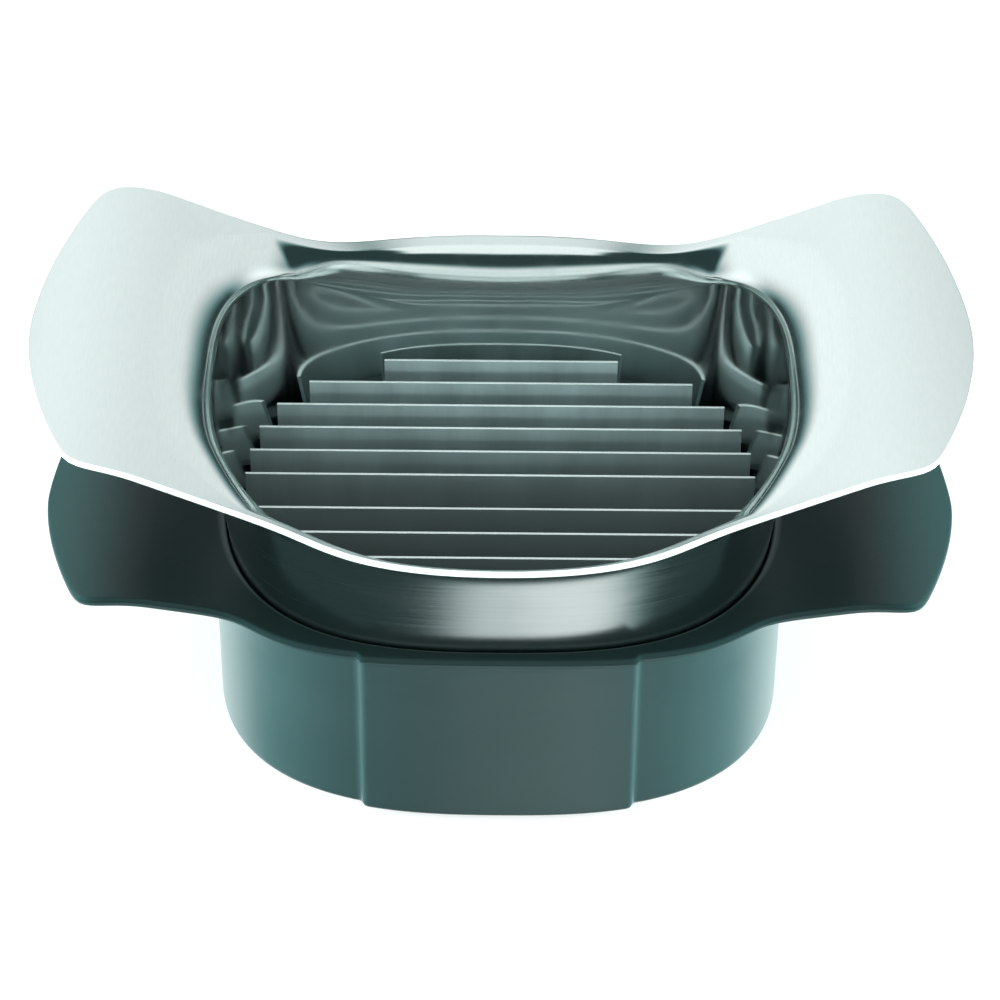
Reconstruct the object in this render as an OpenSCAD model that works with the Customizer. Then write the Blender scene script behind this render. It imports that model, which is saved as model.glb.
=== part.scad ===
// Push-through slicer: a pressed sheet-steel cutter frame with a row of
// straight blades drops into a moulded base tray whose comb of ribs pushes
// the food up between the blades. Origin: middle of the underside, +Z up.

/* [Cutter frame] */
// Reach of each steel finger wing from the middle
wing_reach = 89; // [82:0.2:108]
// Half depth of a steel finger wing
wing_half_depth = 46.8; // [40:0.2:52]
// How far a steel wing's corners sit back from the middle of its end
wing_bow = 11.5; // [6:0.5:16]
// Height of the front and back lip edge above the table
lip_height = 65.5; // [60:0.5:79]
// How far the front and back lip edge stands out beyond the tube at the blades' tops
lip_w = 7.1; // [5.6:0.1:10]
// The same at the two sides, where the lip runs into the wings
lip_side = 8.2; // [6:0.1:12]
// Height over which the front and back walls flare out
flare_h = 13; // [6:0.1:16]
// Angle at which the flared front and back edges rise
lip_rise = 32; // [0:1:45]
// Thickness of the steel sheet
sheet_t = 1.2; // [0.8:0.1:1.6]
// Width of the bend from the tube wall into the wings
bend_w = 7.5; // [4:0.1:9]
// Height of that bend
bend_h = 5; // [3.5:0.1:7]
// Angle at which the finger wings rise
wing_rise = 23.4; // [15:0.1:28]
// Length at each wing's end that curves down
wing_curl = 24.6; // [16:0.2:28]
// Angle at which a steel wing's end points down
wing_tip_angle = 21; // [5:1:45]

/* [Tube] */
// Inner half width of the tube at the top of the blades
tube_half_w = 51; // [42:0.2:61]
// Inner half depth of the tube at the top of the blades
tube_half_d = 47.9; // [45.4:0.1:58]
// Squareness of the tube's outline, 2 is an ellipse
tube_square = 2.8; // [2.6:0.1:4]
// Draft of the tube wall, wider towards the top
tube_draft = 7; // [1:0.5:9]
// Height of the tube's bottom edge above the table
tube_bottom = 31.3; // [26:0.1:34]

/* [Blades] */
// Number of blades on each side of the middle gap
blades_per_side = 6; // [2:1:6]
// Spacing of the blades
blade_pitch = 7.76; // [6:0.02:7.9]
// Width of the middle gap between the two inner blades
middle_gap = 10.9; // [7:0.1:11.4]
// Height of a blade
blade_h = 9.5; // [6:0.5:11]
// Thickness of a blade
blade_t = 0.6; // [0.4:0.1:1]
// Height of the ground bevel at a blade's lower edge
blade_bevel = 1.6; // [0.8:0.1:3]
// How far the cutting edges sit above the tube's bottom edge
edge_setback = 1.5; // [0.5:0.1:4]
// Gap between a blade's end and the tube wall
blade_end_gap = 0.15; // [0.1:0.05:0.3]

/* [Base tray] */
// Reach of each base wing from the middle
tray_reach = 87.7; // [80:0.2:106]
// Half depth of a base wing
tray_wing_half_depth = 40; // [34:0.2:48]
// How far a base wing's corners sit back from the middle of its end
tray_bow = 9.5; // [4:0.5:14]
// Height of the tray's rim above the table
rim_height = 42.5; // [38:0.5:49]
// Angle at which the base wings rise
tray_rise = 9.1; // [4:0.1:14]
// Length at each base wing's end that curves down
tray_curl = 22.4; // [14:0.2:28]
// Angle at which a base wing's end points down
tray_tip_angle = 34.4; // [10:0.2:50]
// Thickness of the moulded wings
tray_t = 2; // [1.6:0.1:3]
// Wall of the cup around the tube, at the front and back
cup_wall = 1.2; // [1.1:0.1:3]
// Extra wall at the cup's two sides
side_extra = 1.5; // [0:0.1:2]
// How far the cup's front and back lean in from the rim to the table
foot_inset_d = 4.2; // [1:0.1:6]
// How far the cup's sides lean in from the rim to the table
foot_inset_w = 0.4; // [0.2:0.1:4]
// Radius around the cup's underside
foot_r = 2.2; // [1:0.1:4]
// Half width of the raised panel on the cup's front and back
panel_half_w = 25.5; // [15:0.5:32]
// How far that panel stands out from the cup
panel_step = 1.4; // [0.6:0.1:2]
// Width of the bead around the rim
rim_bead = 0.5; // [0.5:0.1:3]
// Thickness of the cup's floor
floor_t = 2.4; // [1.6:0.1:4]
// Width of the ledge that the tube's bottom edge stands on
ledge_w = 2.2; // [1.6:0.1:3]

/* [Support comb] */
// Thickness of a support rib
rib_t = 2.2; // [1.6:0.1:3.4]
// How far the ribs reach up past the cutting edges
rib_overlap = 2.5; // [1:0.1:4]
// Thickness of the plate that carries the ribs
comb_plate_t = 2; // [1.5:0.1:3]

/* [Fits] */
// Sideways gap between the tube and the cup
tube_clearance = 0.3; // [0.2:0.05:0.8]
// Gap between the tube's bottom edge and its ledge
seat_gap = 0.1; // [0.05:0.05:0.3]
// Gap between the comb and the cup
comb_clearance = 0.3; // [0.2:0.05:0.6]

/* [Hidden] */

steel = [0.80, 0.83, 0.83];
blade_steel = [0.70, 0.73, 0.73];
charcoal = [0.20, 0.25, 0.25];
dark_grey = [0.15, 0.18, 0.18];

// Stations round the middle for the swept shells
stations = 120;
// How sharply one outline turns into another
join_power = 26;
// Softness of the bend where a wing starts to rise
rise_soft = 8.5;
wing_start = 32;
tray_wing_start = 42;
// Powers of the curves that bow the wings' ends out
wing_bow_power = 1.8;
tray_bow_power = 1.6;
// Squareness of the other outlines, 2 is an ellipse
lip_square = 2.35;
cup_square = 2.65;
rim_square = 3.8;
panel_soft = 2;
// Steps along each part of a profile
wall_steps = 3;
bend_steps = 6;
deck_steps = 10;
// Newton steps that find a wing's bowed end, and how far past the side they may start
newton_steps = 12;
newton_reach = 1.3;
// Keeps a division by a sine finite
tiny = 1e-6;
// Straight part of the lip outside the bend
lip_land = 2;
// Part of the tube's half width over which the front and back keep their full flare
flare_from = 0.3;
// Height and width of the rounding at the rim's inner edge
rim_round_h = 1;
rim_round_w = 0.8;
// Width and height of the bevels around the moulded edge
edge_soft_w = 0.4;
edge_soft_h = 0.5;
// Width and height of the fillet between the cup's wall and the wings
wall_soft_w = 0.4;
wall_soft_h = 0.8;

blade_bottom = tube_bottom + edge_setback;
blade_top = blade_bottom + blade_h;
ledge_z = tube_bottom - seat_gap;
lip_half_w = tube_half_w + lip_side;
lip_half_d = tube_half_d + lip_w;
// Outer half sizes of the cup at its rim and at the table
cup_half_w = tube_half_w + sheet_t + tube_clearance + cup_wall + side_extra;
cup_half_d = tube_half_d + sheet_t + tube_clearance + cup_wall;
foot_half_w = cup_half_w - foot_inset_w;
foot_half_d = cup_half_d - foot_inset_d;
// Inner half sizes of the cup's floor
floor_half_w = foot_half_w - cup_wall - side_extra - ledge_w;
floor_half_d = foot_half_d - cup_wall;

// ---- outlines -------------------------------------------------------

// Radius of a superellipse in the direction of one angle
function ring_r(th, a, b, n) = pow(pow(abs(cos(th)) / a, n) + pow(abs(sin(th)) / b, n), -1 / n);

// The larger of two radii, with a soft change from one to the other
function joined_r(r1, r2) = pow(pow(r1, join_power) + pow(r2, join_power), 1 / join_power);

// The smaller of two radii, in the same way
function cut_r(r1, r2) = pow(pow(r1, -join_power) + pow(r2, -join_power), -1 / join_power);

// Where a ray at angle th meets the bowed end x + k * y^p = reach, by Newton steps from r
function end_r(th, reach, k, p, r, steps) = steps == 0 ? r : let (
        c = abs(cos(th)),
        s = max(abs(sin(th)), tiny),
        miss = r * c + k * pow(r * s, p) - reach,
        slope = c + k * p * pow(s, p) * pow(r, p - 1))
    end_r(th, reach, k, p, max(r - miss / slope, 1), steps - 1);

// Radius of a pair of wings with straight sides and bowed ends
function wing_r(th, reach, half, bow, p) = let (
        side = half / max(abs(sin(th)), tiny),
        start = min(reach / max(abs(cos(th)), tiny), newton_reach * side))
    cut_r(side, end_r(th, reach, bow / pow(half, p), p, start, newton_steps));

function lerp(a, b, t) = a + (b - a) * t;

function smooth(t) = let (c = min(max(t, 0), 1)) c * c * (3 - 2 * c);

// Growth of a drafted wall at height z, measured from the blades' tops
function grown(z) = (z - blade_top) * tan(tube_draft);

// Inner face of the tube
function tube_r(th, z, extra) = ring_r(th, tube_half_w + grown(z), tube_half_d + grown(z), tube_square) + extra;

// A ramp that starts softly at x0, zero in the middle
function ramp(x, x0, angle) =
    tan(angle) * (sqrt(pow(x - x0, 2) + pow(rise_soft, 2)) + x - sqrt(pow(x0, 2) + pow(rise_soft, 2))) / 2;

// Drop of a wing's end, which bends from its rise down to its tip angle
function curl(x, reach, len, rise, tip) =
    x > reach - len ? -pow(x - reach + len, 2) * (tan(rise) + tan(tip)) / (2 * len) : 0;

function cutter_deck(x) =
    lip_height + ramp(abs(x), wing_start, wing_rise)
    + curl(abs(x), wing_reach, wing_curl, wing_rise, wing_tip_angle);

function tray_deck(x) =
    rim_height + ramp(abs(x), tray_wing_start, tray_rise)
    + curl(abs(x), tray_reach, tray_curl, tray_rise, tray_tip_angle);

function cutter_edge(th) = joined_r(
    ring_r(th, lip_half_w, lip_half_d, lip_square),
    wing_r(th, wing_reach, wing_half_depth, wing_bow, wing_bow_power));

// Raised panel on the front and back of the cup
function panel(th, r) =
    panel_step * smooth((panel_half_w + panel_soft / 2 - abs(r * cos(th))) / panel_soft);

// Outer face of the cup
function cup_r(th, z) = let (
        t = 1 - z / rim_height,
        r = ring_r(th, cup_half_w - foot_inset_w * t, cup_half_d - foot_inset_d * t, cup_square))
    r + panel(th, r);

// Inner face of the cup below the ledge
function low_r(th, z) = let (t = (z - floor_t) / (ledge_z - floor_t))
    ring_r(th, lerp(floor_half_w, low_half_w, t), lerp(floor_half_d, low_half_d, t), tube_square);

function tray_edge(th) = let (rim = ring_r(th, cup_half_w + rim_bead, cup_half_d + rim_bead, rim_square))
    joined_r(rim + panel(th, rim),
             wing_r(th, tray_reach, tray_wing_half_depth, tray_bow, tray_bow_power));

// ---- points of the shells ------------------------------------------

function at(th, r, z) = [r * cos(th), r * sin(th), z];

// Upper face of the cutter frame at one station, from the tube's bottom to the edge
function cutter_line(th) = let (
        edge = cutter_edge(th),
        top_r = tube_r(th, lip_height, 0),
        // 1 at the front and back, 0 at the wings
        flare = 1 - smooth((abs(top_r * cos(th)) / tube_half_w - flare_from) / (1 - flare_from)),
        start_z = cutter_deck(top_r * cos(th)) - lerp(bend_h, flare_h, flare),
        wall_r = tube_r(th, start_z, 0),
        deck_r = min(wall_r + bend_w, edge - lip_land),
        bend = deck_r - wall_r,
        drop = flare * tan(lip_rise))
    concat(
        [for (k = [0 : wall_steps - 1]) let (z = lerp(tube_bottom, start_z, k / wall_steps))
            at(th, tube_r(th, z, 0), z)],
        [for (k = [0 : bend_steps]) let (
            a = 90 * k / bend_steps,
            r = wall_r + bend * (1 - cos(a)))
            at(th, r, lerp(start_z, cutter_deck(r * cos(th)) - drop * (edge - r), sin(a)))],
        [for (k = [1 : deck_steps]) let (r = lerp(deck_r, edge, k / deck_steps))
            at(th, r, cutter_deck(r * cos(th)) - drop * (edge - r))]);

function unit(v) = v / norm(v);

// Under face: every point of a grid moved by the sheet's thickness along its normal
function under(grid, i, j, t) = let (
        n = len(grid),
        m = len(grid[0]),
        along = grid[i][min(j + 1, m - 1)] - grid[i][max(j - 1, 0)],
        around = grid[(i + 1) % n][j] - grid[(i + n - 1) % n][j])
    grid[i][j] - t * unit(cross(along, around));

// Closed loop of points at each station joined to the next into one skin
module sweep_round(loops) {
    n = len(loops);
    m = len(loops[0]);
    polyhedron(
        points = [for (l = loops) each l],
        faces = [for (i = [0 : n - 1], j = [0 : m - 1]) let (
                a = i * m + j,
                b = i * m + (j + 1) % m,
                c = ((i + 1) % n) * m + (j + 1) % m,
                d = ((i + 1) % n) * m + j)
            each [[a, c, b], [a, d, c]]]);
}

// Open lines at each station, closed by a flat cap at each end
module sweep_cup(lines) {
    n = len(lines);
    m = len(lines[0]);
    polyhedron(
        points = [for (l = lines) each l],
        faces = concat(
            [for (i = [0 : n - 1], j = [0 : m - 2]) let (
                a = i * m + j,
                b = a + 1,
                c = ((i + 1) % n) * m + j + 1,
                d = ((i + 1) % n) * m + j)
                each [[a, c, b], [a, d, c]]],
            [[for (i = [n - 1 : -1 : 0]) i * m]],
            [[for (i = [0 : n - 1]) i * m + m - 1]]));
}

// ---- pieces ---------------------------------------------------------

module cutter_frame() {
    color(steel) {
        top = [for (i = [0 : stations - 1]) cutter_line(360 * i / stations)];
        m = len(top[0]);
        sweep_round([for (i = [0 : stations - 1]) concat(
            top[i],
            [for (j = [m - 1 : -1 : 0]) let (p = under(top, i, j, sheet_t))
                j == 0 ? [p[0], p[1], tube_bottom] : p])]);
    }
}

// Half length of a blade or rib that ends inside an outline at depth y
function half_length(y, a, b, n) = a * pow(1 - pow(abs(y) / b, n), 1 / n);

function blade_y(k) = let (s = k < blades_per_side ? -1 : 1,
                           i = s < 0 ? blades_per_side - 1 - k : k - blades_per_side)
    s * (middle_gap / 2 + i * blade_pitch);

// One blade, counted from the front
module blade(k) {
    y = blade_y(k);
    g = grown(blade_bottom);
    half = half_length(abs(y) + blade_t / 2, tube_half_w + g, tube_half_d + g, tube_square) - blade_end_gap;
    color(blade_steel) translate([-half, y, 0]) rotate([90, 0, 90])
        linear_extrude(2 * half)
            polygon([[-blade_t / 2, blade_top], [-blade_t / 2, blade_bottom + blade_bevel], [0, blade_bottom],
                     [blade_t / 2, blade_bottom + blade_bevel], [blade_t / 2, blade_top]]);
}

// Half sizes of the ledge's inner edge
low_half_w = tube_half_w + grown(tube_bottom) + sheet_t + tube_clearance - ledge_w;
low_half_d = tube_half_d + grown(tube_bottom) + sheet_t + tube_clearance - ledge_w;

function tray_line(th) = let (
        hold = sheet_t + tube_clearance,
        rim_z = tray_deck(tube_r(th, rim_height, hold) * cos(th)),
        round_z = rim_z - rim_round_h,
        round_r = tube_r(th, round_z, hold),
        edge = tray_edge(th),
        edge_z = tray_deck(edge * cos(th)),
        wall_top = tray_deck(cup_r(th, rim_height) * cos(th)) - tray_t,
        wall_r = min(cup_r(th, rim_height), edge - rim_bead / 2))
    concat(
        [at(th, low_r(th, floor_t), floor_t),
         at(th, low_r(th, ledge_z), ledge_z),
         at(th, tube_r(th, ledge_z, hold), ledge_z),
         at(th, round_r, round_z)],
        [for (a = [30, 60, 90]) at(th, round_r + rim_round_w * (1 - cos(a)), round_z + rim_round_h * sin(a))],
        [for (k = [1 : deck_steps]) let (r = lerp(round_r + rim_round_w, edge - edge_soft_w, k / deck_steps))
            at(th, r, tray_deck(r * cos(th)))],
        [at(th, edge, edge_z - edge_soft_h), at(th, edge, edge_z - tray_t + edge_soft_w)],
        [for (k = [0 : deck_steps]) let (r = lerp(edge - edge_soft_w, wall_r + wall_soft_w, k / deck_steps))
            at(th, r, tray_deck(r * cos(th)) - tray_t)],
        [at(th, wall_r, wall_top - wall_soft_h),
         at(th, cup_r(th, rim_height / 2), rim_height / 2)],
        [for (a = [0, 30, 60, 90]) at(th, cup_r(th, foot_r) - foot_r * (1 - cos(a)), foot_r * (1 - sin(a)))]);

module base_tray() {
    color(charcoal)
        sweep_cup([for (i = [0 : stations - 1]) tray_line(360 * i / stations)]);
}

// Plate with one rib under every gap between two blades
module support_comb() {
    half_w = min(floor_half_w, low_half_w) - comb_clearance;
    half_d = min(floor_half_d, low_half_d) - comb_clearance;
    rib_top = blade_bottom + rib_overlap;
    side_gaps = blades_per_side - 1;
    color(dark_grey) {
        translate([0, 0, floor_t]) linear_extrude(comb_plate_t)
            polygon([for (i = [0 : stations - 1]) let (
                th = 360 * i / stations, r = ring_r(th, half_w, half_d, tube_square))
                [r * cos(th), r * sin(th)]]);
        for (g = [-side_gaps : side_gaps]) {
            y = g == 0 ? 0 : sign(g) * (middle_gap / 2 + (abs(g) - 0.5) * blade_pitch);
            half = half_length(abs(y) + rib_t / 2, half_w, half_d, tube_square);
            translate([-half, y - rib_t / 2, floor_t + comb_plate_t / 2])
                cube([2 * half, rib_t, rib_top - floor_t - comb_plate_t / 2]);
        }
    }
}

cutter_frame();
for (k = [0 : 2 * blades_per_side - 1])
    blade(k);
base_tray();
support_comb();
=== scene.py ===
import math

import bpy
import numpy as np
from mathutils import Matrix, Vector


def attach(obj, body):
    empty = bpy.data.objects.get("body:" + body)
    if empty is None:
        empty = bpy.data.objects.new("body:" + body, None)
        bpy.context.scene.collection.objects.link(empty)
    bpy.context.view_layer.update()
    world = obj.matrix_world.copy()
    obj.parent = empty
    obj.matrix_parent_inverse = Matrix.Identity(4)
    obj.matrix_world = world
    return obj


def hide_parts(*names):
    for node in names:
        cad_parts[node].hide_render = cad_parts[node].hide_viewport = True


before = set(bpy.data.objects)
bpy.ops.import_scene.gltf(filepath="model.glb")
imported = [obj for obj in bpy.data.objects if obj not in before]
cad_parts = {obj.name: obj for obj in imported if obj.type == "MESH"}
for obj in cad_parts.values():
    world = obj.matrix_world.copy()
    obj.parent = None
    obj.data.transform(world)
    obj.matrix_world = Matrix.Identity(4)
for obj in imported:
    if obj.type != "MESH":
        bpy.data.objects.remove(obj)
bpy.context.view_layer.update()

MM = 0.001

# ---------------------------------------------------------------------------
# Sizes, in millimetres. They are the part's own driving values, so each fine
# mesh lies where its CAD node is.
# ---------------------------------------------------------------------------

# Steel wings and tray wings: reach from the middle, half depth, bow of the end, where the deck
# starts to rise, slope of the rise, length of the curl at the end and slope at the tip (degrees)
WING = dict(reach=89, half=46.8, bow=11.5, power=1.8, start=32, rise=23.4, curl=24.6, tip=21)
TRAY_WING = dict(reach=87.7, half=40, bow=9.5, power=1.6, start=42, rise=9.1, curl=22.4, tip=34.4)
RISE_SOFT = 8.5

# Lip round the mouth of the steel frame
LIP_HEIGHT = 65.5
LIP_WIDTH = 7.1
LIP_SIDE = 8.2
LIP_LAND = 2
LIP_RISE = math.tan(math.radians(32))
LIP_SQUARE = 2.35
FLARE_H = 13
FLARE_FROM = 0.3
SHEET = 1.2
CUT_EDGE_R = 0.2
# Share of the way from the bend to the edge over which the polish fades to satin
POLISHED_SHARE = 0.2
BEND_W = 7.5
BEND_H = 5

# Drafted steel tube, measured at the tops of the blades
TUBE_HALF_W = 51
TUBE_HALF_D = 47.9
TUBE_SQUARE = 2.8
TUBE_DRAFT = math.tan(math.radians(7))
TUBE_BOTTOM = 31.3

# Blades
BLADES_PER_SIDE = 6
BLADE_PITCH = 7.76
MIDDLE_GAP = 10.9
BLADE_T = 0.6
BLADE_TOP = 42.3
BLADE_BOTTOM = 32.8
BLADE_BEVEL = 1.6
BLADE_END_GAP = 0.15
TOOTH = 1.3
TOOTH_DEPTH = 0.22
TOOTH_SAMPLES = 4
TOP_BREAK = 0.06
CUTTING_HALF_T = 0.03
FACES_UP = 0.5

# Tray: rim, wings, cup and the ledge that the tube stands on
RIM_HEIGHT = 42.5
RIM_SQUARE = 3.8
RIM_BEAD = 0.5
RIM_ROUND_W = 0.8
RIM_ROUND_H = 1
TRAY_T = 2
EDGE_ROUND = 0.8
EDGE_FULLNESS = 0.7
CORNER_W = 1.2
CORNER_H = 1.4
CORNER_LAND = 0.05
CLEARANCE = 0.3
CUP_WALL = 1.2
SIDE_EXTRA = 1.5
CUP_SQUARE = 2.65
FOOT_INSET_W = 0.4
FOOT_INSET_D = 4.2
FOOT_R = 2.2
PANEL_HALF_W = 25.5
PANEL_STEP = 1.4
PANEL_SOFT = 2
FLOOR_T = 2.4
LEDGE_W = 2.2
SEAT_GAP = 0.1
LEDGE_Z = TUBE_BOTTOM - SEAT_GAP

HOLD = SHEET + CLEARANCE
CUP_HALF_W = TUBE_HALF_W + HOLD + CUP_WALL + SIDE_EXTRA
CUP_HALF_D = TUBE_HALF_D + HOLD + CUP_WALL

# How sharply one outline turns into the other
JOIN = 26

# Fineness of the meshes: points round each ring, and rings along each stretch
STATIONS = 480
TUBE_STEPS = 14
BEND_STEPS = 24
LIP_STEPS = 34
CUT_STEPS = 4
LEDGE_STEPS = 9
HOLD_STEPS = 6
ROUND_STEPS = 6
PLATE_STEPS = 30
EDGE_STEPS = 16
CUP_STEPS = 14
FOOT_STEPS = 8
# Rings over which the top of the cup's wall settles into its draft
SETTLE_STEPS = 3
# How far from a sharp corner its next ring lies, as a share of the stretch
NEAR = 0.02
LEDGE_NEAR = 0.06
FOOT_NEAR = 0.03

# Search for a wing's end: number of steps, and where it starts in units of the wing's side
SEARCH_STEPS = 12
SEARCH_START = 1.3
TINY = 1e-6

THETA = np.arange(STATIONS) * 2 * math.pi / STATIONS
COS = np.maximum(np.abs(np.cos(THETA)), TINY)
SIN = np.maximum(np.abs(np.sin(THETA)), TINY)


# ---------------------------------------------------------------------------
# Outlines: each gives a radius for every station round the middle
# ---------------------------------------------------------------------------

def lerp(a, b, t):
    return a + (b - a) * t


def smooth(t):
    """0 below 0, 1 above 1 and a soft rise between them."""
    c = np.clip(t, 0, 1)
    return c * c * (3 - 2 * c)


def ring(a, b, square):
    """A superellipse with half axes a and b."""
    return ((COS / a) ** square + (SIN / b) ** square) ** (-1 / square)


def joined(r1, r2):
    """The larger of two radii, with a soft change from one to the other."""
    return (r1 ** JOIN + r2 ** JOIN) ** (1 / JOIN)


def wing_ring(wing):
    """A pair of wings with straight sides and bowed ends, found by Newton's steps."""
    side = wing["half"] / SIN
    power = wing["power"]
    bow = wing["bow"] / wing["half"] ** power
    r = np.minimum(wing["reach"] / COS, SEARCH_START * side)
    for _ in range(SEARCH_STEPS):
        miss = r * COS + bow * (r * SIN) ** power - wing["reach"]
        slope = COS + bow * power * SIN ** power * r ** (power - 1)
        r = np.maximum(r - miss / slope, 1)
    return (side ** -JOIN + r ** -JOIN) ** (-1 / JOIN)


def deck(r, height, wing):
    """Height of a wing's upper face at radius r: it rises outwards and curls down at its end."""
    x = np.abs(r * np.cos(THETA))
    rise = math.tan(math.radians(wing["rise"]))
    tip = math.tan(math.radians(wing["tip"]))
    start = wing["start"]
    ramp = rise * (np.hypot(x - start, RISE_SOFT) + x - math.hypot(start, RISE_SOFT)) / 2
    past = np.maximum(x - wing["reach"] + wing["curl"], 0)
    return height + ramp - past ** 2 * (rise + tip) / (2 * wing["curl"])


def cutter_deck(r):
    return deck(r, LIP_HEIGHT, WING)


def tray_deck(r):
    return deck(r, RIM_HEIGHT, TRAY_WING)


def tube_growth(z):
    return (z - BLADE_TOP) * TUBE_DRAFT


def tube(z, extra=0.0):
    """Inner face of the drafted tube at height z."""
    grow = tube_growth(z)
    return ring(TUBE_HALF_W + grow, TUBE_HALF_D + grow, TUBE_SQUARE) + extra


def panel(r):
    """Raised panel on the front and back of the cup."""
    return PANEL_STEP * smooth((PANEL_HALF_W + PANEL_SOFT / 2 - r * COS) / PANEL_SOFT)


def cup(z):
    """Outer face of the cup at height z."""
    t = 1 - z / RIM_HEIGHT
    r = ring(CUP_HALF_W - FOOT_INSET_W * t, CUP_HALF_D - FOOT_INSET_D * t, CUP_SQUARE)
    return r + panel(r)


def cutter_edge():
    """Outline of the steel sheet, lip and wings."""
    lip = ring(TUBE_HALF_W + LIP_SIDE, TUBE_HALF_D + LIP_WIDTH, LIP_SQUARE)
    return joined(lip, wing_ring(WING))


def tray_edge():
    """Outline of the tray, rim and wings."""
    rim = ring(CUP_HALF_W + RIM_BEAD, CUP_HALF_D + RIM_BEAD, RIM_SQUARE)
    return joined(rim + panel(rim), wing_ring(TRAY_WING))


# ---------------------------------------------------------------------------
# Meshes
# ---------------------------------------------------------------------------

def at(r, z):
    """Points at radius r and height z, one for each station."""
    return np.stack([r * np.cos(THETA), r * np.sin(THETA), z + 0 * THETA], -1)


def quarter(k, steps):
    """Angle after k of the steps through a quarter turn."""
    return 0.5 * math.pi * k / steps


def unit(v):
    return v / np.maximum(np.linalg.norm(v, axis=-1, keepdims=True), TINY)


def normals(rings):
    """Normals of rings that run up the tube and outwards: into the tube, then up."""
    along = np.gradient(rings, axis=0)
    around = np.roll(rings, -1, 1) - np.roll(rings, 1, 1)
    return unit(np.cross(along, around))


def swept_faces(rings, closed):
    """Quads that join rings of stations; a closed sweep joins the last ring to the first."""
    faces = []
    n = STATIONS
    for j in range(rings if closed else rings - 1):
        k = (j + 1) % rings
        for i in range(n):
            i2 = (i + 1) % n
            faces.append((j * n + i, j * n + i2, k * n + i2, k * n + i))
    return faces


def piece(name, points, faces, material, body, node):
    """A smooth mesh from millimetre points, which rides on a body and stands for a node."""
    mesh = bpy.data.meshes.new(name)
    mesh.from_pydata((np.asarray(points) * MM).tolist(), [], faces)
    mesh.validate()
    mesh.polygons.foreach_set("use_smooth", [True] * len(mesh.polygons))
    obj = bpy.data.objects.new(name, mesh)
    bpy.context.scene.collection.objects.link(obj)
    mesh.materials.append(material)
    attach(obj, body)
    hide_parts(node)
    return obj


def store(obj, name, ring_values):
    """A number for every vertex, given ring by ring, for the material to read."""
    layer = obj.data.attributes.new(name, "FLOAT", "POINT")
    values = np.repeat(np.asarray(ring_values, dtype=np.float32), STATIONS)
    layer.data.foreach_set("value", values)


# ---------------------------------------------------------------------------
# Shader maths
# ---------------------------------------------------------------------------

class Value:
    """A socket or a number that builds Math nodes when it is used in an expression."""

    def __init__(self, paint, source):
        self.paint = paint
        self.source = source

    def _math(self, operation, *others):
        sockets = dict(enumerate([self] + list(others)))
        return self.paint.node("ShaderNodeMath", {"operation": operation}, sockets)[0]

    def __add__(self, other):
        return self._math("ADD", other)

    def __sub__(self, other):
        return self._math("SUBTRACT", other)

    def __mul__(self, other):
        return self._math("MULTIPLY", other)

    def __rsub__(self, other):
        return Value(self.paint, other)._math("SUBTRACT", self)

    __radd__ = __add__
    __rmul__ = __mul__

    def clipped(self):
        return self._math("MAXIMUM", 0.0)._math("MINIMUM", 1.0)

    def between(self, low, high):
        """0 below low, 1 above high and a soft rise from one to the other."""
        return self.paint.node(
            "ShaderNodeMapRange", {"interpolation_type": "SMOOTHSTEP", "clamp": True},
            {"Value": self, "From Min": low, "From Max": high})[0]


class Paint:
    """The node tree of one material or world."""

    def __init__(self, tree):
        self.tree = tree
        tree.nodes.clear()

    def made(self, kind, settings, sockets):
        """Adds a node, sets it up and fills its sockets with values or links."""
        node = self.tree.nodes.new(kind)
        for key, value in settings.items():
            setattr(node, key, value)
        for key, value in sockets.items():
            source = value.source if isinstance(value, Value) else value
            if isinstance(source, bpy.types.NodeSocket):
                self.tree.links.new(source, node.inputs[key])
            else:
                node.inputs[key].default_value = source
        return node

    def node(self, kind, settings, sockets):
        """Adds a node and returns the outputs that it shows."""
        node = self.made(kind, settings, sockets)
        return [Value(self, socket) for socket in node.outputs if socket.enabled]

    def output(self, name, kind, settings=None):
        """Adds a node and returns the output of that name."""
        return Value(self, self.made(kind, settings or {}, {}).outputs[name])

    def object_place(self):
        """Where a point is on the object, in metres."""
        return self.output("Object", "ShaderNodeTexCoord")

    def attribute(self, name):
        return self.output("Fac", "ShaderNodeAttribute", {"attribute_name": name})

    def parts(self, vector):
        """The x, y and z of a vector."""
        return self.node("ShaderNodeSeparateXYZ", {}, {0: vector})

    def noise(self, where, scale, detail=2.0, rough=0.5):
        return self.node("ShaderNodeTexNoise", {},
                         {"Vector": where, "Scale": scale, "Detail": detail, "Roughness": rough})[0]

    def stretched(self, where, scales):
        return self.node("ShaderNodeVectorMath", {"operation": "MULTIPLY"}, {0: where, 1: scales})[0]

    def mix_colour(self, factor, a, b):
        return self.node("ShaderNodeMix", {"data_type": "RGBA", "clamp_factor": True},
                         {0: factor, 6: a, 7: b})[0]

    def bump(self, height, strength, distance):
        return self.node("ShaderNodeBump", {},
                         {"Height": height, "Strength": strength, "Distance": distance})[0]

    def surface(self, **sockets):
        """A Principled surface; names are its sockets with _ for a space."""
        shader = self.node("ShaderNodeBsdfPrincipled", {},
                           {key.replace("_", " "): value for key, value in sockets.items()})[0]
        self.node("ShaderNodeOutputMaterial", {}, {"Surface": shader})


def material(name):
    made = bpy.data.materials.new(name)
    made.use_nodes = True
    return made, Paint(made.node_tree)


def grey(value, tint=(1, 1, 1)):
    return (value * tint[0], value * tint[1], value * tint[2], 1)


# ---------------------------------------------------------------------------
# Materials
# ---------------------------------------------------------------------------

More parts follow.
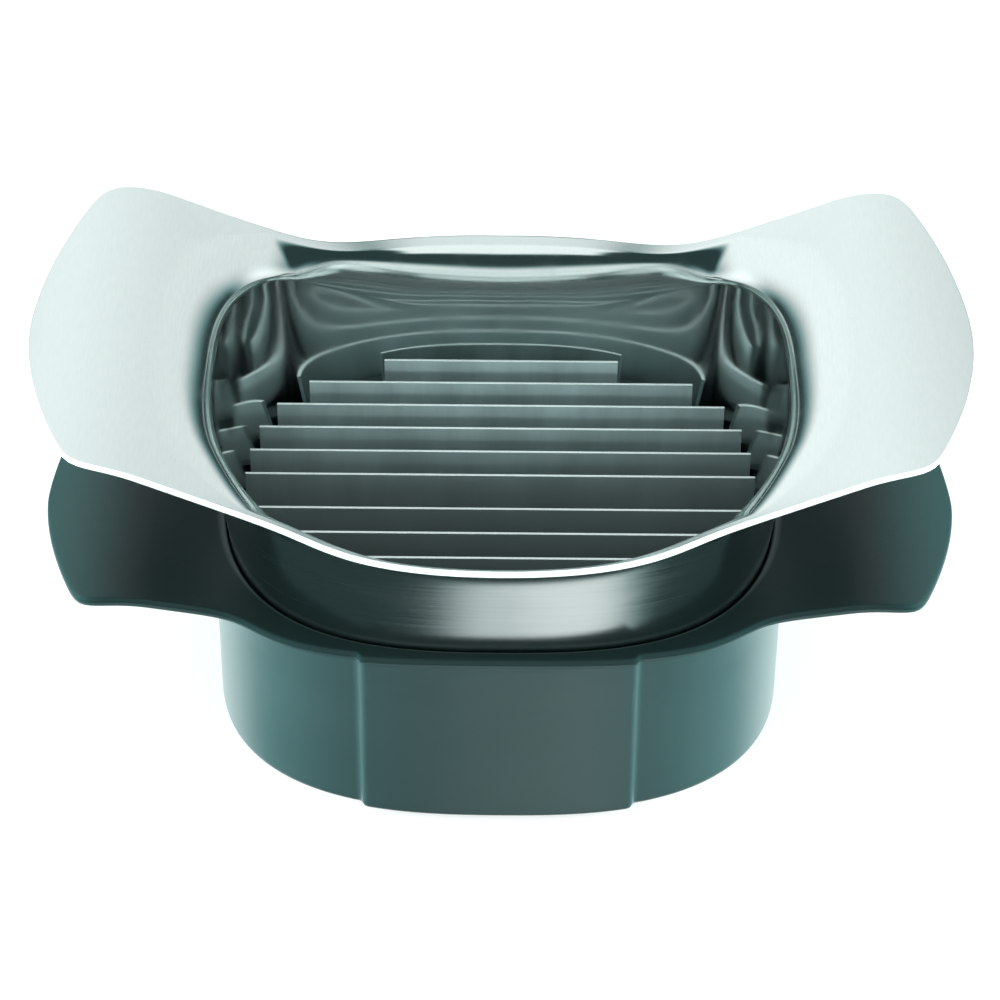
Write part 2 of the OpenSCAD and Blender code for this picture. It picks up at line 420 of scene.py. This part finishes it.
STEEL_TINT = (0.93, 1.0, 0.99)
BLADE_TINT = (0.82, 1.0, 1.0)
TRAY_COLOURS = ((0.022, 0.044, 0.045, 1), (0.018, 0.038, 0.039, 1))
COMB_COLOURS = ((0.010, 0.016, 0.016, 1), (0.008, 0.013, 0.013, 1))
# Painted shade: colour of the tray's upper faces, darker to stand in for the shade under the steel wings.
PAINTED_TOP_SHADE = (0.008, 0.020, 0.020, 1)


def wing_steel():
    """Satin on the wings' upper faces, polished round the bend and down the tube's inner wall."""
    made, paint = material("frame_steel")
    where = paint.object_place()
    polish = paint.attribute("polish")
    satin = paint.noise(paint.stretched(where, (2600, 320, 2600)), 1.0)
    cloud = paint.noise(where, 42, 3.0, 0.55)
    smear = paint.noise(paint.stretched(where, (130, 130, 26)), 1.0, 3.0, 0.6)
    rough_wing = 0.26 + cloud * 0.06 + (satin - 0.5) * 0.06
    rough_wall = 0.10 + smear.between(0.45, 0.8) * 0.08
    rough = rough_wing * (1 - polish) + rough_wall * polish
    shade = paint.mix_colour(satin.between(0.2, 0.8), grey(0.90, STEEL_TINT), grey(0.94, STEEL_TINT))
    paint.surface(Base_Color=shade, Metallic=1.0, Roughness=rough.clipped(),
                  Normal=paint.bump(satin * (1 - polish), 0.04, 0.00002))
    return made


def band_steel():
    """Outer face of the tube, brushed round it."""
    made, paint = material("band_steel")
    where = paint.object_place()
    lines = paint.noise(paint.stretched(where, (14, 14, 4200)), 1.0, 3.0, 0.65)
    long_lines = paint.noise(paint.stretched(where, (40, 40, 1500)), 1.0, 2.0, 0.6)
    cloud = paint.noise(where, 35, 3.0, 0.55)
    rough = 0.20 + cloud * 0.05 + (lines - 0.5) * 0.22
    shade = paint.mix_colour(lines * 0.6 + long_lines * 0.4,
                             grey(0.70, STEEL_TINT), grey(0.96, STEEL_TINT))
    paint.surface(Base_Color=shade, Metallic=1.0, Roughness=rough.clipped(),
                  Normal=paint.bump(lines, 0.16, 0.00003))
    return made


def cut_steel():
    """Bright matt edge where the sheet was cut."""
    made, paint = material("cut_steel")
    grain = paint.noise(paint.object_place(), 1800)
    shade = paint.mix_colour(grain.between(0.3, 0.7), grey(0.86, STEEL_TINT), grey(0.95, STEEL_TINT))
    paint.surface(Base_Color=shade, Metallic=0.25, Roughness=0.5 + (grain - 0.5) * 0.1)
    return made


def blade_steel():
    """Ground strip with upright smudges left by slices and cloths, and painted shade that darkens it
    towards the front.
    """
    made, paint = material("blade_steel")
    where = paint.object_place()
    smear = paint.noise(paint.stretched(where, (110, 110, 14)), 1.0, 4.0, 0.6)
    cloud = paint.noise(paint.stretched(where, (22, 22, 60)), 1.0, 3.0, 0.5)
    lines = paint.noise(paint.stretched(where, (30, 900, 6000)), 1.0, 2.0, 0.6)
    rough = 0.34 + smear.between(0.4, 0.75) * 0.12 + (lines - 0.5) * 0.08 + (cloud - 0.5) * 0.12
    depth = paint.parts(where)[1]
    shade = paint.mix_colour(smear.between(0.35, 0.7), grey(0.66, BLADE_TINT), grey(0.84, BLADE_TINT))
    # Painted shade: blades nearer the front get a darker colour, standing in for the shadow of the front
    # wall over them.
    shade = paint.mix_colour(depth.between(-0.02, 0.045), grey(0.32, BLADE_TINT), shade)
    paint.surface(Base_Color=shade, Metallic=0.5, Roughness=rough.clipped(),
                  Normal=paint.bump(lines, 0.08, 0.00003))
    return made


def moulded_plastic(name, light, dark):
    """Charcoal moulding with a fine spark-eroded grain; top faces are smoother and darkened by painted
    shade.
    """
    made, paint = material(name)
    where = paint.object_place()
    grain = paint.noise(where, 2600, 2.0, 0.55)
    cloud = paint.noise(where, 30, 3.0, 0.5)
    speck = paint.noise(where, 900, 1.0, 0.5)
    top = paint.attribute("top")
    shade = paint.mix_colour(cloud.between(0.3, 0.7) * 0.7 + speck * 0.3, dark, light)
    # Painted shade: the upper faces take the darker top colour, standing in for the shade under the steel
    # wings.
    shade = paint.mix_colour(top, shade, PAINTED_TOP_SHADE)
    rough = 0.5 + (cloud - 0.5) * 0.08 + (grain - 0.5) * 0.1 - top * 0.08
    paint.surface(Base_Color=shade, Metallic=0.0, Roughness=rough.clipped(), Specular_IOR_Level=0.22,
                  Coat_Weight=(1 - top) * 0.9, Coat_Roughness=0.38,
                  Normal=paint.bump(grain, 0.35, 0.00006))
    return made


STEEL = wing_steel()
BAND = band_steel()
CUT = cut_steel()
BLADE = blade_steel()
TRAY = moulded_plastic("tray_plastic", *TRAY_COLOURS)
COMB = moulded_plastic("comb_plastic", *COMB_COLOURS)


# ---------------------------------------------------------------------------
# Steel frame
# ---------------------------------------------------------------------------

def rounded_edge(point, off, normal):
    """Rings across the sheet's cut edge, with a small radius at each corner; off points off the sheet."""
    rings = []
    for corner in (0, 1):
        for k in range(CUT_STEPS + 1):
            a = quarter(CUT_STEPS - k if corner else k, CUT_STEPS)
            out = CUT_EDGE_R * math.sin(a)
            down = CUT_EDGE_R * (1 - math.cos(a))
            depth = SHEET - down if corner else down
            rings.append(point + off * (out - CUT_EDGE_R) - normal * depth)
    return rings


def upper_sheet():
    """Rings up the tube's inner wall, round the bend and out to the edge, and the polish of each."""
    edge = cutter_edge()
    mouth = tube(LIP_HEIGHT)
    flare = 1 - smooth((mouth * COS / TUBE_HALF_W - FLARE_FROM) / (1 - FLARE_FROM))
    start = cutter_deck(mouth) - lerp(BEND_H, FLARE_H, flare)
    wall = tube(start)
    deck_r = np.minimum(wall + BEND_W, edge - LIP_LAND)

    def flared_deck(r):
        return cutter_deck(r) - flare * LIP_RISE * (edge - r)

    rings = []
    for k in range(TUBE_STEPS):
        z = lerp(TUBE_BOTTOM, start, k / TUBE_STEPS)
        rings.append(at(tube(z), z))
    for k in range(BEND_STEPS + 1):
        a = quarter(k, BEND_STEPS)
        r = lerp(wall, deck_r, 1 - math.cos(a))
        rings.append(at(r, lerp(start, flared_deck(r), math.sin(a))))
    polish = [1.0] * len(rings)
    for k in range(1, LIP_STEPS + 1):
        t = k / LIP_STEPS
        r = lerp(deck_r, edge, t)
        rings.append(at(r, flared_deck(r)))
        polish.append(1.0 - float(smooth(t / POLISHED_SHARE)))
    return np.array(rings), polish


def cutter_frame():
    """One pressed sheet: drafted tube, bend, flared front and back edges, and the two wings."""
    top, polish = upper_sheet()
    normal = normals(top)
    under = top - normal * SHEET
    under[0, :, 2] = TUBE_BOTTOM
    upper = list(top[1:-1])
    edge = rounded_edge(top[-1], unit(top[-1] - top[-2]), normal[-1])
    lower = list(under[1:-1][::-1])
    foot = rounded_edge(top[0], unit(top[0] - top[1]), normal[0])[::-1]
    rings = upper + edge + lower + foot
    faces = swept_faces(len(rings), closed=True)
    obj = piece("cutter_frame_sheet", np.array(rings).reshape(-1, 3), faces,
                STEEL, "cutter", "cutter_frame")
    obj.data.materials.append(BAND)
    obj.data.materials.append(CUT)
    store(obj, "polish", polish[1:-1] + [0.0] * (len(rings) - len(upper)))
    steel, band, cut = 0, 1, 2
    finish = [steel] * len(upper) + [cut] * (len(edge) - 1) + [band] * (len(lower) + 1)
    finish += [cut] * (len(foot) - 1) + [steel]
    obj.data.polygons.foreach_set("material_index", np.repeat(finish, STATIONS))


cutter_frame()


# ---------------------------------------------------------------------------
# Blades
# ---------------------------------------------------------------------------

def blade_places():
    """Depth of each blade, front to back."""
    side = [MIDDLE_GAP / 2 + k * BLADE_PITCH for k in range(BLADES_PER_SIDE)]
    return [-y for y in reversed(side)] + side


def blade_half_length(y):
    """Half the room between the tube's walls at the foot of a blade, less the gap at its end."""
    grow = tube_growth(BLADE_BOTTOM)
    share = (abs(y) + BLADE_T / 2) / (TUBE_HALF_D + grow)
    return (TUBE_HALF_W + grow) * (1 - share ** TUBE_SQUARE) ** (1 / TUBE_SQUARE) - BLADE_END_GAP


def blade_section(notch):
    """Depth and height of the corners round a blade, whose lower edge is cut up by notch."""
    t = BLADE_T / 2
    front = [(-t + TOP_BREAK, BLADE_TOP),
             (-t, BLADE_TOP - TOP_BREAK),
             (-t, BLADE_BOTTOM + BLADE_BEVEL),
             (-CUTTING_HALF_T, BLADE_BOTTOM + notch)]
    return front + [(-dy, z) for dy, z in reversed(front)]


def blade(number, y):
    """One ground strip with a finely toothed lower edge."""
    half = blade_half_length(y)
    columns = int(2 * half / TOOTH * TOOTH_SAMPLES)
    points = []
    for i in range(columns + 1):
        x = lerp(-half, half, i / columns)
        notch = TOOTH_DEPTH * abs(math.sin(math.pi * i / TOOTH_SAMPLES))
        points += [(x, y + dy, z) for dy, z in blade_section(notch)]
    m = len(blade_section(0))
    faces = [(i * m + j, i * m + (j + 1) % m, (i + 1) * m + (j + 1) % m, (i + 1) * m + j)
             for i in range(columns) for j in range(m)]
    faces.append(tuple(range(m))[::-1])
    faces.append(tuple(columns * m + j for j in range(m)))
    name = "blade_%02d" % number
    obj = piece(name + "_strip", points, faces, BLADE, "cutter", name)
    mesh = obj.data
    mesh.polygons.foreach_set("use_smooth", [False] * len(mesh.polygons))
    mesh.materials.append(CUT)
    ground, cut = 0, 1
    finish = [cut if face.normal.z > FACES_UP else ground for face in mesh.polygons]
    mesh.polygons.foreach_set("material_index", finish)


for number, y in enumerate(blade_places(), 1):
    blade(number, y)


# ---------------------------------------------------------------------------
# Plastic tray
# ---------------------------------------------------------------------------

def tray_inside():
    """Rings over the cup's floor, up to the ledge, up the wall and round the rim's inner edge."""
    floor_w = CUP_HALF_W - FOOT_INSET_W - CUP_WALL - SIDE_EXTRA - LEDGE_W
    floor_d = CUP_HALF_D - FOOT_INSET_D - CUP_WALL
    ledge_w = TUBE_HALF_W + tube_growth(TUBE_BOTTOM) + HOLD - LEDGE_W
    ledge_d = TUBE_HALF_D + tube_growth(TUBE_BOTTOM) + HOLD - LEDGE_W
    rings = [at(t * ring(floor_w, floor_d, TUBE_SQUARE), FLOOR_T) for t in (NEAR, 0.5, 1 - NEAR)]
    for t in np.linspace(0, 1, LEDGE_STEPS):
        r = ring(lerp(floor_w, ledge_w, t), lerp(floor_d, ledge_d, t), TUBE_SQUARE)
        rings.append(at(r, lerp(FLOOR_T, LEDGE_Z, lerp(NEAR / 2, 1 - NEAR / 2, t))))
    for t in (LEDGE_NEAR, 1 - LEDGE_NEAR):
        r = lerp(ring(ledge_w, ledge_d, TUBE_SQUARE), tube(LEDGE_Z, HOLD), t)
        rings.append(at(r, LEDGE_Z))
    round_z = tray_deck(tube(RIM_HEIGHT, HOLD)) - RIM_ROUND_H
    for t in np.linspace(NEAR, 1, HOLD_STEPS):
        z = lerp(LEDGE_Z, round_z, t)
        rings.append(at(tube(z, HOLD), z))
    for k in range(1, ROUND_STEPS + 1):
        a = quarter(k, ROUND_STEPS)
        r = tube(round_z, HOLD) + RIM_ROUND_W * (1 - math.cos(a))
        rings.append(at(r, round_z + RIM_ROUND_H * math.sin(a)))
    return rings


def tray_plate(edge):
    """Rings over the upper face of rim and wings, then round their rounded edge."""
    inner = tube(tray_deck(tube(RIM_HEIGHT, HOLD)) - RIM_ROUND_H, HOLD) + RIM_ROUND_W
    rings = []
    for k in range(1, PLATE_STEPS + 1):
        r = lerp(inner, edge - EDGE_ROUND, k / PLATE_STEPS)
        rings.append(at(r, tray_deck(r)))
    for k in range(1, EDGE_STEPS):
        a = math.pi * k / EDGE_STEPS
        r = edge - EDGE_ROUND + EDGE_ROUND * math.sin(a) ** EDGE_FULLNESS
        rings.append(at(r, tray_deck(r) - TRAY_T / 2 * (1 - math.cos(a))))
    return rings


def tray_outside(edge):
    """Rings under rim and wings, down the cup's outer wall, round the foot and under it."""
    wall_r = np.minimum(cup(RIM_HEIGHT), edge - RIM_BEAD / 2)
    corner_r = np.minimum(wall_r + CORNER_W, edge - EDGE_ROUND - CORNER_LAND)
    wall_top = tray_deck(cup(RIM_HEIGHT)) - TRAY_T
    rings = []
    for t in np.linspace(0, 1, PLATE_STEPS):
        r = lerp(edge - EDGE_ROUND, corner_r, t)
        rings.append(at(r, tray_deck(r) - TRAY_T))
    for k in range(1, ROUND_STEPS + 1):
        a = quarter(k, ROUND_STEPS)
        rings.append(at(lerp(corner_r, wall_r, math.sin(a)), wall_top - CORNER_H * (1 - math.cos(a))))
    for k in range(1, CUP_STEPS + 1):
        z = lerp(wall_top - CORNER_H, FOOT_R, k / CUP_STEPS)
        rings.append(at(lerp(wall_r, cup(z), min(1.0, k / SETTLE_STEPS)), z))
    for k in range(1, FOOT_STEPS + 1):
        a = quarter(k, FOOT_STEPS)
        rings.append(at(cup(FOOT_R) - FOOT_R * (1 - math.cos(a)), FOOT_R * (1 - math.sin(a))))
    return rings + [at(t * (cup(FOOT_R) - FOOT_R), 0) for t in (1 - FOOT_NEAR, 0.5, NEAR)]


def base_tray():
    """One moulding: cup, ledge, rim and the two wings."""
    edge = tray_edge()
    inside = tray_inside()
    rings = inside + tray_plate(edge) + tray_outside(edge)
    faces = swept_faces(len(rings), closed=False)
    faces.append(tuple(range(STATIONS))[::-1])
    faces.append(tuple((len(rings) - 1) * STATIONS + i for i in range(STATIONS)))
    obj = piece("tray_moulding", np.array(rings).reshape(-1, 3), faces,
                TRAY, "base", "base_tray")
    # The top attribute marks the upper faces of rim and wings, which the material makes smoother, leaves
    # without a coat and darkens with painted shade.
    top = PLATE_STEPS + EDGE_STEPS // 2
    store(obj, "top", [0.0] * len(inside) + [1.0] * top + [0.0] * (len(rings) - len(inside) - top))


base_tray()

# The comb keeps its CAD mesh
comb_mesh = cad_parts["support_comb"].data
comb_mesh.materials.clear()
comb_mesh.materials.append(COMB)


# ---------------------------------------------------------------------------
# Camera, light and floor, in metres
# ---------------------------------------------------------------------------

CAMERA_HEIGHT = math.radians(35.44)
CAMERA_DISTANCE = 0.799
CAMERA_ROLL = math.radians(0.5)
LENS = 151.011
AIM_BELOW_LIP = math.radians(1.4462)

LIGHT_COLOUR = (0.84, 1.0, 0.99)
LIGHT_TARGET = Vector((0, 0, 0.03))
# Name, place, width and height, power in watts
LIGHTS = (("top_light", (0, -0.25, 1.1), (0.7, 0.4), 3.5),
          ("low_front", (0, -1.2, 0.26), (1.6, 0.3), 10),
          ("mid_front", (0, -1.2, 0.50), (1.6, 0.14), 10),
          ("high_front", (0, -0.9, 0.72), (1.2, 0.3), 0.8),
          ("left_side", (-0.9, 0.15, 0.05), (0.5, 0.08), 58),
          ("right_side", (0.9, 0.15, 0.05), (0.5, 0.08), 58))


def camera():
    """A long lens in front of the object that looks down on it, aimed a little below the lip."""
    data = bpy.data.cameras.new("camera")
    data.lens = LENS
    data.clip_start = 0.05
    obj = bpy.data.objects.new("camera", data)
    bpy.context.scene.collection.objects.link(obj)
    back = Vector((0, -math.cos(CAMERA_HEIGHT), math.sin(CAMERA_HEIGHT)))
    obj.location = Vector((0, 0, LIP_HEIGHT * MM)) + back * CAMERA_DISTANCE
    tilt = CAMERA_HEIGHT + AIM_BELOW_LIP
    look = Vector((0, math.cos(tilt), -math.sin(tilt)))
    obj.rotation_euler = look.to_track_quat("-Z", "Y").to_euler()
    obj.rotation_euler.rotate_axis("Z", CAMERA_ROLL)
    bpy.context.scene.camera = obj


def area_light(name, place, size, power):
    """A soft rectangle of light that mirrors don't show."""
    data = bpy.data.lights.new(name, "AREA")
    data.shape = "RECTANGLE"
    data.size, data.size_y = size
    data.energy = power
    data.color = LIGHT_COLOUR
    obj = bpy.data.objects.new(name, data)
    obj.location = place
    obj.rotation_euler = (LIGHT_TARGET - obj.location).to_track_quat("-Z", "Y").to_euler()
    obj.visible_glossy = False
    bpy.context.scene.collection.objects.link(obj)


def studio():
    """What the steel mirrors: white cards in a dark teal room, each placed by direction."""
    world = bpy.data.worlds.new("studio")
    bpy.context.scene.world = world
    world.use_nodes = True
    paint = Paint(world.node_tree)
    x, y, z = paint.parts(paint.output("Generated", "ShaderNodeTexCoord"))
    room = 0.045
    back_wall = y.between(0.0, 0.5) * z.between(-0.05, 0.3) * (0.97 - x.between(-0.45, 0.55) * 0.20)
    overhead = (1 - (x * x).between(0.10, 0.17)) * z.between(0.52, 0.62)
    overhead = overhead * (1 - y.between(-0.1, 0.2)) * 0.95
    table = (1 - y.between(-0.6, -0.2)) * z.between(-0.26, -0.06) * (1 - z.between(0.08, 0.2)) * 0.8
    rear_floor = y.between(0.15, 0.5) * (1 - z.between(-0.52, -0.4)) * 1.6
    strip = x.between(-0.10, 0.02) * (1 - x.between(0.2, 0.45))
    strip = strip * (1 - z.between(-0.45, -0.3)) * (1 - y.between(-0.3, -0.1)) * 0.85
    sides = (x * x).between(0.55, 0.9) * z.between(-0.5, -0.1) * (1 - z.between(0.1, 0.4)) * 0.8
    light = room + back_wall + overhead + table + strip + sides + rear_floor
    tint = paint.mix_colour(light.between(0.1, 0.75), (0.55, 1.0, 1.0, 1), (0.94, 1.0, 0.995, 1))
    shader = paint.node("ShaderNodeBackground", {}, {"Color": tint, "Strength": light})[0]
    paint.node("ShaderNodeOutputWorld", {}, {"Surface": shader})


def pale_floor():
    """A plain pale floor that mirrors don't show."""
    half = 4.0
    corners = [(-half, -half, 0), (half, -half, 0), (half, half, 0), (-half, half, 0)]
    mesh = bpy.data.meshes.new("floor")
    mesh.from_pydata(corners, [], [(0, 1, 2, 3)])
    obj = bpy.data.objects.new("floor", mesh)
    bpy.context.scene.collection.objects.link(obj)
    made, paint = material("floor")
    paint.surface(Base_Color=grey(0.42), Roughness=0.9, Specular_IOR_Level=0.1,
                  Emission_Color=(1, 1, 1, 1), Emission_Strength=0.64)
    mesh.materials.append(made)
    obj.visible_glossy = False


camera()
studio()
for light in LIGHTS:
    area_light(*light)
pale_floor()
bpy.context.scene.view_settings.view_transform = "Standard"
